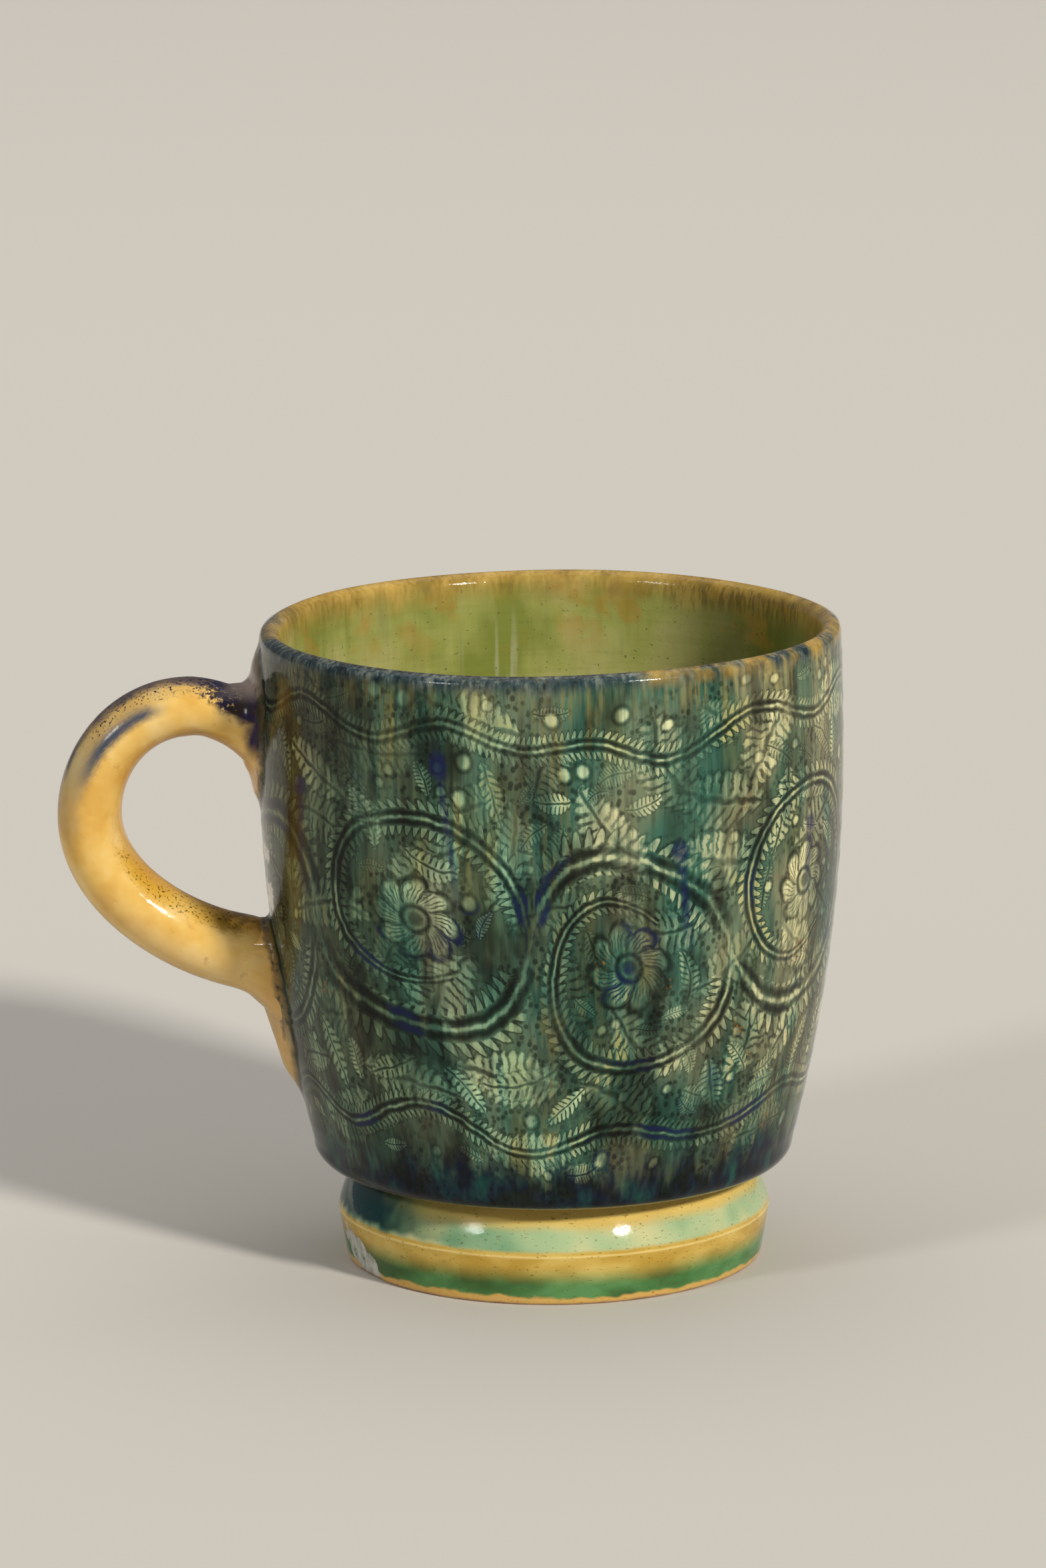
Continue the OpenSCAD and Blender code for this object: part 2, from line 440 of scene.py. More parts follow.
flake_turn = math.radians(-70)
flake_z = 2.9 * MM
flake_slope = 0.3
flake_w = 6
flake_h = 2.6
flake_depth = 0.25
foot_outer, foot_inner = foot_outline()
foot = revolve("foot", foot_outer + foot_inner, FOOT_COLUMNS, foot_shift, closed=True)
foot_path = path_along(foot_outer + foot_inner)
foot_top_path = foot_path[len(foot_outer) - 1]
keep_numbers(foot, "path", np.repeat(foot_path, FOOT_COLUMNS))
foot_points = points_of(foot)
foot_turn = np.arctan2(foot_points[:, 0], -foot_points[:, 1])
keep_numbers(foot, "flake", flake(foot_turn, np.hypot(*foot_points[:, :2].T), foot_points[:, 2]))


# The slip squeezed out between foot and cup
def foot_seam_outline():
    low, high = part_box("foot_slip_seam")
    middle = (low.z + high.z) / 2
    reach = (high.z - low.z) / 2
    inner_r = inner_side(surface("foot_slip_seam"), [middle])[0][0]
    turns = np.linspace(-quarter, quarter, BEAD_ROWS)
    bead = [[high.x + reach * math.cos(t), middle + reach * math.sin(t)] for t in turns]
    return bead + [[inner_r, high.z], [inner_r, low.z]]


def foot_seam_shift(turn, radius, height):
    return radius + MM * waves(turn, bead_waves) * (radius > foot_neck_r), height


bead_reach = 0.5 * MM
foot_neck_r = foot_outer[-1][0] - bead_reach
foot_seam = revolve("foot_seam", foot_seam_outline(), FOOT_COLUMNS, foot_seam_shift, closed=True)


# The pulled handle: a finer copy of the CAD loft, sunk into the wall at its roots
def smooth_copy(name, cad_node, levels):
    """The CAD node's triangles are paired into quads and subdivided."""
    shape = bmesh.new()
    shape.from_mesh(frame["nodes"][cad_node].data)
    bmesh.ops.remove_doubles(shape, verts=shape.verts, dist=SKIN / 10)
    bmesh.ops.join_triangles(
        shape, faces=shape.faces, angle_face_threshold=math.pi, angle_shape_threshold=math.pi)
    mesh = bpy.data.meshes.new(name)
    shape.to_mesh(mesh)
    shape.free()
    piece = add_smooth(name, mesh)
    piece.modifiers.new("subdivision", "SUBSURF").levels = levels
    depsgraph = bpy.context.evaluated_depsgraph_get()
    piece.data = bpy.data.meshes.new_from_object(piece.evaluated_get(depsgraph))
    piece.modifiers.clear()
    return piece


def gap_to_wall(points):
    return (np.hypot(points[:, 0], points[:, 1]) - wall_radius(points[:, 2])) / MM


def sink_roots(piece):
    """Draws the spread roots in until their rims lie just below the wall."""
    points = points_of(piece)
    gap = gap_to_wall(points)
    drawn = root_sink * np.exp(-((gap - root_gap) / root_reach) ** 2)
    radius = np.hypot(points[:, 0], points[:, 1])
    points[:, :2] *= (1 - MM * drawn / radius)[:, None]
    piece.data.vertices.foreach_set("co", points.ravel())
    piece.data.update()


def keep_loop(piece):
    """Keeps the angle round the finger loop, how far the handle's skin faces out of it, and the gap to
    the wall."""
    points = points_of(piece)
    normals = np.array([handle_skin.find_nearest(Vector(point))[1] for point in points])
    away = (points - loop_centre) * (1, 0, 1)
    away /= np.linalg.norm(away, axis=1)[:, None]
    outward = (normals * away).sum(1)
    angle = np.degrees(np.arctan2(away[:, 2], -away[:, 0]))
    keep_numbers(piece, "loop", np.column_stack([angle, outward, gap_to_wall(points)]))


root_sink = 0.95
root_gap = 0.65
root_reach = 1.2
openings = {opening["name"]: opening["box_m"] for opening in frame["record"]["physics"]["openings"]}
loop_centre = np.mean(openings["finger_loop"], axis=0)
handle = smooth_copy("handle_loop", "handle", HANDLE_SUBDIVISIONS)
sink_roots(handle)


# The slip smeared round the handle's roots
def outer_skin(piece):
    """A search tree of the handle's faces, without the ends that lie against the wall."""
    gap = gap_to_wall(points_of(piece))
    faces = []
    for face in piece.data.polygons:
        faces_wall = face.normal.dot(face.center * Vector((1, 1, 0))) < 0
        if not faces_wall or gap[list(face.vertices)].max() > end_gap:
            faces.append(face.vertices)
    return BVHTree.FromPolygons([v.co for v in piece.data.vertices], faces)


def gap_to_handle(spot):
    """Distance from a spot to the handle's skin in millimetres, negative inside the handle."""
    near, normal, _, distance = handle_skin.find_nearest(spot)
    return math.copysign(distance / MM, (spot - near).dot(normal))


def fillet_height(base, out, blend):
    """Height over the wall, in millimetres, of a smooth fillet between wall and handle."""
    before = 0
    for height in np.arange(0, fillet_most, fillet_step):
        gap = gap_to_handle(base + out * float(height * MM))
        shared = max(blend - abs(height - gap), 0)
        now = min(height, gap) - shared ** 2 / (4 * blend)
        if now > 0:
            return height - fillet_step * now / (now - before)
        before = now
    return fillet_most


def root_pad(name, cad_node, reach, blends, lumps):
    """A fillet of slip round a root: how far it goes past the CAD pad at the top, sides and bottom, and how
    broad it is there. Lumps are [bearing in degrees, share of the half size, radius, height]."""
    low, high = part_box(cad_node)
    reach_up, reach_out, reach_down = reach
    top_z = high.z + reach_up * MM
    bottom_z = low.z - reach_down * MM
    middle_z = (top_z + bottom_z) / 2
    half_h = (top_z - bottom_z) / 2
    half_w = high.y + reach_out * MM
    share = np.append(np.linspace(pad_heart, 1, PAD_ROWS), 1)
    turn, spread = np.meshgrid(np.linspace(0, 2 * math.pi, PAD_COLUMNS, endpoint=False), share)
    across = half_w * spread * np.cos(turn)
    z = middle_z + half_h * spread * np.sin(turn)
    upright = np.abs(np.sin(turn)) ** 1.5
    end_blend = np.where(np.sin(turn) > 0, blends[0], blends[2])
    uneven = 1 + 0.06 * np.sin(3 * turn + 0.6) + 0.03 * np.sin(7 * turn + 1)
    blend = (blends[1] + (end_blend - blends[1]) * upright) * uneven
    bearing = across / belly_r
    out = np.stack([-np.cos(bearing), np.sin(bearing), np.zeros_like(z)], -1)
    base = out * wall_radius(z)[..., None] + np.stack([0 * z, 0 * z, z], -1)
    spots = zip(base.reshape(-1, 3), out.reshape(-1, 3), blend.ravel())
    height = np.array([fillet_height(Vector(b), Vector(o), k) for b, o, k in spots]).reshape(z.shape)
    for lump_bearing, far, radius, lump in lumps:
        lump_a = half_w * far * math.cos(math.radians(lump_bearing))
        lump_z = middle_z + half_h * far * math.sin(math.radians(lump_bearing))
        height += lump * np.exp(-((across - lump_a) ** 2 + (z - lump_z) ** 2) / (radius * MM) ** 2)
    height -= pad_edge + pad_tuck * np.clip(height, 0, 1)
    height[-1] = -pad_depth
    points = (base + out * (height * MM)[..., None]).reshape(-1, 3)
    heart = points[:PAD_COLUMNS].mean(0)
    up = (z - middle_z) / half_h
    at = np.arange(len(points)).reshape(turn.shape)
    beside = np.roll(at, -1, 1)
    faces = np.stack([at[:-1], at[1:], beside[1:], beside[:-1]], -1).reshape(-1, 4).tolist()
    faces += [[at[0, i], beside[0, i], len(points)] for i in range(PAD_COLUMNS)]
    faces += [at[-1].tolist()]
    piece = add_mesh(name, points.tolist() + [heart.tolist()], faces)
    keep_numbers(piece, "height", np.append(height, fillet_most))
    keep_numbers(piece, "up", np.append(up, 0))
    keep_loop(piece)
    return piece


pad_heart = 0.4
pad_edge = 0.03
pad_tuck = 0.08
end_gap = 0.3
pad_depth = 0.8
fillet_most = 6
fillet_step = 0.15
crevice_share = 0.7, 0.82
crevice_r = 0.4, 1
crevice_height = 0.2, 0.6
side_lump = 0.35
crevice_lumps = [
    [bearing, draws.uniform(*crevice_share), draws.uniform(*crevice_r), draws.uniform(*crevice_height)]
    for bearing in range(30, 155, 6)]
crevice_lumps += [
    [bearing, 0.76 + 0.05 * math.sin(bearing), 0.6 + 0.25 * math.sin(2 * bearing), side_lump]
    for bearing in range(156, 216, 5)]
handle_skin = outer_skin(handle)
keep_loop(handle)
upper_seam = root_pad("upper_seam", "upper_slip_seam", (4, 2.5, 5), (5.2, 2.2, 4.5), [])
lower_seam = root_pad("lower_seam", "lower_slip_seam", (2.5, 2.5, 7.5), (2, 1.6, 8), crevice_lumps)


# The painted design: a scrolling vine with flowers and leaves
def around(a):
    """Brings a distance along the girth to within half a turn."""
    return (a + girth / 2) % girth - girth / 2


class Design:
    """Strokes on the unrolled wall, in millimetres along the girth and up from the table."""

    def __init__(self):
        self.stems = []
        self.leaves = []
        self.blooms = []
        self.dots = []
        self.taken = np.zeros((0, 3))

    def is_free(self, discs):
        across = around(discs[:, None, 0] - self.taken[None, :, 0])
        up = discs[:, None, 1] - self.taken[None, :, 1]
        room = np.hypot(across, up) - discs[:, None, 2] - self.taken[None, :, 2]
        return room.min(initial=NOWHERE) > leaf_gap

    def take(self, discs):
        self.taken = np.vstack([self.taken, discs])

    def add_stem(self, points, start_width, end_width):
        steps = np.hypot(*np.diff(points, axis=0).T)
        along = np.append(0, np.cumsum(steps))
        width = start_width + (end_width - start_width) * along / along[-1]
        leaflets_per_mm = round(along[-1] / (leaflet_share * start_width)) / along[-1]
        heading = np.gradient(points, axis=0)
        heading /= np.linalg.norm(heading, axis=1)[:, None]
        same = np.tile([len(self.stems), leaflets_per_mm], (len(points), 1))
        to_end = np.minimum(along, along[-1] - along)
        stem = np.column_stack([points, along * leaflets_per_mm, width, heading, same, to_end])
        self.stems.append(stem)
        self.take(stem[:, [0, 1, 3]] * (1, 1, leaflet_reach))

    def add_bloom(self, a, h, radius):
        self.blooms.append([a, h, draws.uniform(0, math.pi), radius, radius, 0])
        self.take(np.array([[a, h, radius]]))

    def try_leaf(self, a, h, angle, length, slim):
        """Paints a leaf from its base at (a, h) if it finds room, and says whether it did."""
        heading = np.array([math.cos(angle), math.sin(angle)])
        middle = np.array([a, h]) + heading * length
        share = leaf_disc_shares
        discs = np.column_stack([
            middle[0] + share * length * heading[0],
            middle[1] + share * length * heading[1],
            length * slim * (1 - share ** 2)])
        inside = discs[:, 1].min() > design_low and discs[:, 1].max() < design_high
        fits = inside and self.is_free(discs)
        if fits:
            bend = draws.uniform(-leaf_bend, leaf_bend)
            self.leaves.append([*middle, angle, length, length * slim, bend])
            self.take(discs)
        return fits

    def try_dot(self, a, h, radius):
        disc = np.array([[a, h, radius]])
        if self.is_free(disc):
            self.dots.append([a, h, 0, radius, radius, 0])
            self.take(disc)


def draw_vine(design):
    """One vine of arcs that swing up and down, a tendril in each hollow and a flower within it."""
    chord = girth / (2 * VINE_WAVES)
    arc_r = ((chord / 2) ** 2 + vine_swing ** 2) / (2 * vine_swing)
    lean = math.asin((arc_r - vine_swing) / arc_r)
    vine = []
    for k in range(2 * VINE_WAVES):
        side = 1 if k % 2 == 0 else -1
        middle = np.array([vine_start + k * chord, vine_z - side * (arc_r - vine_swing)])
        turns = np.linspace(math.pi - lean, lean, VINE_STEPS, endpoint=False)
        vine.append(middle + arc_r * np.column_stack([np.cos(turns), side * np.sin(turns)]))
        share = np.linspace(0, 1, 2 * VINE_STEPS)
        turns = lean - share * tendril_turn
        radius = arc_r * (1 - tendril_draw * share ** tendril_ease)
        curl = middle + radius[:, None] * np.column_stack([np.cos(turns), side * np.sin(turns)])
        design.add_stem(curl, tendril_w, tendril_w / 2)
        design.add_bloom(middle[0], middle[1], bloom_r * draws.uniform(*bloom_vary))
    design.add_stem(np.vstack(vine), vine_w, vine_w)


def draw_borders(design):
    """Thin wavy stems below the lip and above the heel, each with a height, a swing and a count of waves."""
    a = np.arange(-girth / 4, 3 * girth / 4, border_step)
    for height, swing, count in borders:
        h = height + swing * np.sin(2 * math.pi * count * a / girth)
        design.add_stem(np.column_stack([a, h]), border_w, border_w)


def draw_leaves(design):
    for stem in list(design.stems):
        for a, h, _, width, heading_a, heading_h in stem[leaf_step // 2::leaf_step, :6]:
            for side in (1, -1):
                angle = math.atan2(heading_h, heading_a) + side * draws.uniform(*leaf_tilt)
                out = leaflet_reach * width + 2 * leaf_gap
                base = np.array([a, h]) + out * np.array([math.cos(angle), math.sin(angle)])
                for length in leaf_lengths:
                    size = length * draws.uniform(*leaf_vary)
                    if design.try_leaf(*base, angle, size, draws.uniform(*leaf_slim)):
                        break


def random_spots():
    corners = (-girth / 2, design_low), (girth / 2, design_high)
    return draws.uniform(*corners, (FILL_TRIES, 2))


def scatter_leaves(design, lengths, slim):
    """Leaves of these lengths in turn, wherever they find room."""
    for length in lengths:
        for spot in random_spots():
            angle = draws.uniform(0, 2 * math.pi)
            design.try_leaf(*spot, angle, length, draws.uniform(*slim))


def scatter_dots(design):
    for radius in fill_radii:
        for spot in random_spots():
            design.try_dot(*spot, radius)


def on_wall(a, h):
    return np.column_stack([girth_r * np.sin(a / girth_r), girth_r * np.cos(a / girth_r), h])


def stem_tree(stem):
    """A search tree of a stem's points on the round wall."""
    tree = kdtree.KDTree(len(stem))
    for i, spot in enumerate(on_wall(stem[:, 0], stem[:, 1])):
        tree.insert(spot, i)
    tree.balance()
    return tree


def stem_numbers(design, a, h):
    """At each point, the nearest stem: offset in half widths, leaflets along it and distance. Then how much
    farther the next stem is, and how far the stem goes on from there."""
    stem = np.vstack(design.stems)
    others = [stem_tree(stem[stem[:, 6] != number]) for number in range(len(design.stems))]
    tree = stem_tree(stem)
    spots = on_wall(a, h)
    near = stem[[tree.find(spot)[1] for spot in spots]]
    across = around(a - near[:, 0])
    up = h - near[:, 1]
    offset = near[:, 4] * up - near[:, 5] * across
    leaflets = near[:, 2] + (near[:, 4] * across + near[:, 5] * up) * near[:, 7]
    distance = np.hypot(across, up)
    next_distance = np.array([others[int(number)].find(spot)[2] for number, spot in zip(near[:, 6], spots)])
    return np.column_stack([offset / near[:, 3], leaflets, distance]), next_distance - distance, near[:, 8]


def motif_numbers(motifs, a, h):
    """At each point, its place in the nearest motif: along, across and out from the middle,
    in shares of the motif's half size. Then a mood from 0 to 1 for each motif."""
    result = np.full((len(a), 3), (0, 0, NOWHERE), float)
    mood = np.zeros(len(a))
    for middle_a, middle_h, angle, length, width, bend in motifs:
        across = around(a - middle_a)
        up = h - middle_h
        near = np.flatnonzero(np.maximum(abs(across), abs(up)) < motif_reach * max(length, width))
        x = (across[near] * math.cos(angle) + up[near] * math.sin(angle)) / length
        y = (up[near] * math.cos(angle) - across[near] * math.sin(angle)) / width
        y -= bend * (x ** 2 - 1 / 3)
        out = np.hypot(x, y)
        better = out < result[near, 2]
        result[near[better]] = np.column_stack([x, y, out])[better]
        mood[near[better]] = draws.uniform(0, 1)
    return result, mood


design_low = 22.5
design_high = 93.5
vine_z = 57
vine_swing = 14.5
vine_start = 9 - girth / 4
vine_w = 2.5
tendril_w = 1.9
tendril_turn = math.radians(300)
tendril_draw = 0.46
tendril_ease = 1.3
bloom_r = 7
borders = ((87.5, 1.4, 11), (28, 1.8, 9))
border_w = 1.3
border_step = 0.4
leaf_step = 9
leaf_disc_shares = np.linspace(-0.75, 0.9, 6)
leaf_tilt = 0.7, 1.1
leaf_vary = 0.9, 1.1
bloom_vary = 0.92, 1.08
leaf_gap = 0.32
leaf_lengths = (8, 6.6, 5.4, 4.2, 3.2)
fill_lengths = (4.8, 3.6, 2.6)
fill_radii = (1.3, 0.9)
frond_lengths = (9, 7, 5, 3.5)
leaf_slim = 0.34, 0.5
fill_slim = 0.36, 0.5
frond_slim = 0.4, 0.55
leaf_bend = 0.7
leaflet_share = 0.75
leaflet_reach = 1.9
motif_reach = 1.6
run_drift = 0.06
run_sag = 0.35
hand_drift = 1.6
drip_spread = -6, 6
drip_z = 46, 84
drip_lengths = 9, 15
drip_widths = 1.1, 1.7
chip_spans = ((54.8, 59), (62.5, 64.3))
chip_near = 3
chip_far = 8.5


def column_drift(amount, window, calm):
    """How far each column of the cup slips up or down, smoothed over a window of columns."""
    slips = draws.normal(0, amount, CUP_COLUMNS + window - 1)
    return np.convolve(slips, np.hanning(window) / calm, "valid")


design = Design()
draw_vine(design)
draw_borders(design)
draw_leaves(design)
scatter_leaves(design, fill_lengths, fill_slim)
scatter_dots(design)
backdrop = Design()
scatter_leaves(backdrop, frond_lengths, frond_slim)
drips = [
    [a + draws.uniform(*drip_spread), draws.uniform(*drip_z), -quarter,
     draws.uniform(*drip_lengths), draws.uniform(*drip_widths), 0]
    for a in np.arange(-girth / 2, girth / 2, girth / DRIPS)]
cup_points = points_of(cup) / MM
cup_turn = np.arctan2(cup_points[:, 0], -cup_points[:, 1])
cup_z = cup_points[:, 2]
drift = column_drift(run_drift, 9, 2) + column_drift(run_sag, 41, 10)
cup_h = cup_z + drift[np.arange(len(cup_z)) % CUP_COLUMNS]
cup_h += hand_drift * (np.sin(3 * cup_turn + 1) + 0.6 * np.sin(7 * cup_turn + cup_z / 14))
cup_a = cup_turn * girth_r
cup_a += hand_drift * (np.sin(cup_z / 11 + 2 * cup_turn) + 0.7 * np.sin(5 * cup_turn))
vine_places, vine_clear, vine_to_end = stem_numbers(design, cup_a, cup_h)
keep_numbers(cup, "vine", vine_places)
keep_numbers(cup, "vine_clear", vine_clear)
keep_numbers(cup, "leaflet_clear", np.minimum(vine_clear, 2 * vine_to_end))
motifs = {
    "leaf": design.leaves, "frond": backdrop.leaves, "bloom": design.blooms, "dot": design.dots,
    "drip": drips}
for name, shapes in motifs.items():
    places, mood = motif_numbers(shapes, cup_a, cup_h)
    keep_numbers(cup, name, places)
    keep_numbers(cup, name + "_mood", mood)


# The painted glaze of the cup, with heights in millimetres
pool_z = 19, 25
heel_line_z = 15.2, 15.7
white_run_z = 40, 84
inner_amber_z = 80, 92
ground_tone = 0.34
cup_relief = 0.03 * MM


def leaf_marks(name, warp, strokes):
    """Fill and dark strokes of feathery leaves, with this many strokes to a half length, and their moods."""
    x, y, out = triple(name)
    x = x + warp * 0.25
    side = abs(y + warp * 0.45)
    comb = wave(x * strokes - side * 0.8)
    edge = 1 - x * x - side - 0.1 * comb
    shown = fall(out, 0.95, 1.03)
    fill = rise(edge, 0, 0.3)
    hatch = rise(comb, 0, 0.9) * rise(side, 0.08, 0.3)
    rib = fall(side, 0.02, 0.16)
    rim = band(edge, -0.02, 0.1, 0.1)
    return fill * shown, highest(rim * 0.8, highest(hatch, rib) * fill) * shown, numbers(name + "_mood")


def bloom_marks(warp):
    """Whorled petals, with dark strokes round, along and between them."""
    x, y, out = triple("bloom")
    shown = fall(out, 1.06, 1.16)
    bearing = calc("ARCTAN2", y, x) + out * 0.7 + warp * 0.4
    out = out + warp * 0.12
    petal = abs(calc("SINE", bearing * 4))
    edge = 0.66 + 0.34 * calc("POWER", petal, 0.5) - out
    petals = rise(edge, 0, 0.2) * rise(out, 0.3, 0.42)
    rays = rise(wave(bearing * (20 / math.pi)), -0.1, 0.8) * band(out, 0.45, 0.82, 0.1)
    heart = fall(out, 0.1, 0.24)
    ring = band(out, 0.26, 0.36, 0.07)
    between = fall(petal, 0.12, 0.42) * petals
    outline = band(edge, -0.06, 0.06, 0.08)
    dark = highest(outline, rays * 0.8, heart, ring, between)
    return highest(petals, fall(out, 0.16, 0.3)) * shown, dark * shown


def stem_marks(warp):
    """Dark stems with a pale line along the middle, and beside them pale leaflets with dark outlines."""
    offset, leaflet, distance = triple("vine")
    offset = abs(offset + warp * 0.5)
    clear = highest(rise(numbers("vine_clear"), 0.8, 1.5), fall(distance, 0.3, 0.7))
    shown = fall(distance, 2.5, 2.9) * clear
    pale = fall(offset, 0.04, 0.22)
    dark = band(offset, 0.22, 0.68, 0.18)
    tip = (offset - 0.8) / (leaflet_reach - 0.8)
    edge = 0.45 + 0.5 * wave(leaflet - 0.5 * offset) - tip * tip
    beside = rise(offset, 0.78, 0.92) * fall(distance, 5, 5.8) * rise(numbers("leaflet_clear"), 1, 1.8)
    return pale * shown, dark * shown, band(edge, -0.2, 0.12, 0.14) * beside, rise(edge, 0.05, 0.3) * beside


def dot_marks():
    out = triple("dot")[2]
    return fall(out, 0.5, 1) * 0.85, band(out, 0.95, 1.3, 0.2) * 0.6


def drip_mark(warp):
    """Cobalt spots whose runs thin out on their way down."""
    down, across, out = triple("drip")
    across = abs(across + warp * 1.1)
    above = (down + 0.55) * 7
    spot = fall(above * above + across * across, 0.1, 1.8)
    tail = fall(across, 0.05, 0.75) * band(down, -0.6, 0.6, 0.3)
    return highest(spot * 0.8, 0.6 * tail) * fall(out, 1.1, 1.4)


def wash(point, x, cloud, fine_runs, wide_runs):
    """Translucent greens, olive and cream that have run down the wall, and a browner, darker tint towards
    the handle that is partly painted shade.
    """
    olive = rise(streaky(point, 0.3, 9, 2), 0.54, 0.7)
    gold = fall(fine_runs, 0.4, 0.5) * rise(streaky(point, 0.3, 12, 2), 0.42, 0.58)
    teal = rise(streaky(point, 0.4, 16, 2), 0.46, 0.62)
    cream = rise(streaky(point, 0.5, 10, 2), 0.4, 0.58) * rise(x + 80 * (cloud - 0.5), 8, 34)
    return coats(
        ramp(0.4 * wide_runs + 0.6 * cloud, {
            0.39: "#548f78", 0.46: "#6fa286", 0.53: "#92ae8a", 0.62: "#b6bd94"}),
        ("#a89a4a", 0.45 * olive),
        ("#b29c46", 0.5 * gold),
        ("#38806a", 0.55 * teal),
        ("#d6cc98", 0.6 * cream),
        # browner glaze towards the handle, darkened further as painted shade of that side
        ("#6f6a44", 0.6 * fall(x, -40, -16)))


def wall_tone(warp, stipple, worn):
    """How pale the painted design is at each point, and where its dark strokes are."""
    frond, frond_lines, frond_mood = leaf_marks("frond", warp, 6.5)
    leaf, leaf_lines, leaf_mood = leaf_marks("leaf", warp, 5)
    bloom, bloom_lines = bloom_marks(warp)
    pale_stem, dark_stem, leaflet_lines, leaflet = stem_marks(warp)
    dot, dot_lines = dot_marks()
    lines = highest(leaf_lines * 0.9, bloom_lines, dark_stem, dot_lines)
    tone = ground_tone
    for over, mask in (
            (0.14, stipple),
            (0.4 + 0.5 * frond_mood, frond * 0.8),
            (0.1, frond_lines * (0.45 + 0.4 * worn)),
            (0.76, leaflet * (0.3 + 0.6 * worn)),
            (0.1, leaflet_lines * (0.3 + 0.5 * worn)),
            (0.45 + 0.7 * leaf_mood, leaf * (0.35 + 0.65 * worn)),
            (1, highest(bloom, dot) * (0.4 + 0.6 * worn)),
            (0.06, lines * (0.55 + 0.4 * worn)),
            (0.8, pale_stem * (0.25 + 0.65 * worn))):
        tone = tone + (over - tone) * mask
    return tone, lines


def wall_paint(point, x, y, z):
    """The washes, the design under them and the runs of the outer wall."""
    fine_runs = streaky(point, 0.05, 0.8, 3)
    wide_runs = streaky(point, 0.18, 4, 3)
    cloud = streaky(point, 0.6, 14, 2)
    stipple = specked(stretched(point, 1, 1, 0.8), 0.95, 0.28, 0.5) * rise(noise(point, 8, 2), 0.38, 0.58)
    warp = noise(point, 2.2, 3) - 0.5
    worn = rise(streaky(point, 0.45, 8, 3), 0.36, 0.6)
    tone, lines = wall_tone(warp, stipple, worn)
    tone = tone * (1.17 - 0.38 * rise(fine_runs, 0.42, 0.64)) * (1.15 - 0.5 * rise(wide_runs, 0.46, 0.7))
    shade = rise(streaky(point, 0.7, 24, 2), 0.46, 0.62)
    pools = rise(streaky(point, 0.4, 7, 3), 0.52, 0.66)
    tone = tone * (1 - 0.4 * shade) * (1 - 0.6 * pools)
    tone = 1.15 * calc("POWER", tone, 1.2)
    creamy = rise(tone, 0.4, 0.9) * (0.1 + 0.4 * rise(x, -20, 20))
    washed = paint(wash(point, x, cloud, fine_runs, wide_runs), "#dacf9c", creamy)
    cobalt = rise(noise(point, 15, 1), 0.6, 0.68) * lines
    glow = rise(noise(point, 13, 1), 0.6, 0.7) * rise(tone, 0.5, 0.8)
    flecks = rise(noise(point, 0.6, 2), 0.58, 0.66) * rise(noise(point, 9, 1), 0.7, 0.75)
    colour = coats(
        scaled(washed, tone),
        ("#121d48", 0.7 * cobalt),
        ("#a8983a", 0.4 * glow),
        ("#131b44", drip_mark(warp)),
        ("#8a5a22", 0.8 * flecks),
        ("#cfcabd", chipped(point, x, y, z)))
    return base_band(colour, point, z, fine_runs, wide_runs)


def chipped(point, x, y, z):
    """Small bare chips on the wall between the handle's roots."""
    ragged = noise(point, 2, 3) - 0.5
    chips = [band(z + 4 * ragged, low, high, 0.3) for low, high in chip_spans]
    return highest(*chips) * band(y + 6 * ragged, -chip_far, -chip_near, 0.4) * fall(x, -girth_r / 2, 0)


def base_band(colour, point, z, fine_runs, wide_runs):
    """Blue-black glaze pooled along the heel, with flames that climb up from it."""
    height = z - 16 * (wide_runs - 0.5) - 4 * (fine_runs - 0.5)
    glaze_pool_and_shade = ramp(streaky(point, 0.4, 3, 3), {
        0.4: "#03050a", 0.5: "#081226", 0.58: "#0a2a30", 0.7: "#14483e"})
    return coats(colour, (glaze_pool_and_shade, 0.92 * fall(height, *pool_z)), ("#8a7148", 0.7 * band(z, *heel_line_z, 0.2)))


def inside_paint(point, x, y, z):
    """Lime and olive glaze with soft streaks, a few whitish runs, and painted shade that darkens the inner
    wall at the right.
    """
    runs = streaky(point, 0.12, 3, 3)
    cloud = streaky(point, 0.7, 13, 3)
    white = rise(streaky(point, 0.05, 2.4, 2), 0.62, 0.72) * band(z + 20 * (cloud - 0.5), *white_run_z, 5)
    rings = rise(noise(stretched(point, 0.06, 0.06, 1), 0.9, 2), 0.45, 0.6)
    # Painted shade: the inner wall darkens towards the right, standing for the shadow there.
    glaze_pool_and_shade = rise(x + 14 * (cloud - 0.5), 12, 28) * fall(y, 28, 42)
    amber = rise(noise(point, 7, 3), 0.5, 0.64) * rise(z, *inner_amber_z)
    specks = rise(noise(point, 0.6, 1), 0.69, 0.75)
    return coats(
        ramp(0.25 * runs + 0.75 * cloud, {
            0.38: "#7f863e", 0.48: "#9a9c54", 0.55: "#a8a564", 0.66: "#b5ae74"}),
        ("#4a561f", 0.3 * rise(runs, 0.56, 0.74)),
        ("#bcbb98", 0.5 * white),
        ("#6a7026", 0.1 * rings),
        # painted shade on the right of the inner wall
        ("#343c10", 0.65 * glaze_pool_and_shade),
        ("#a8742a", 0.4 * amber),
        ("#2c3312", 0.5 * specks))


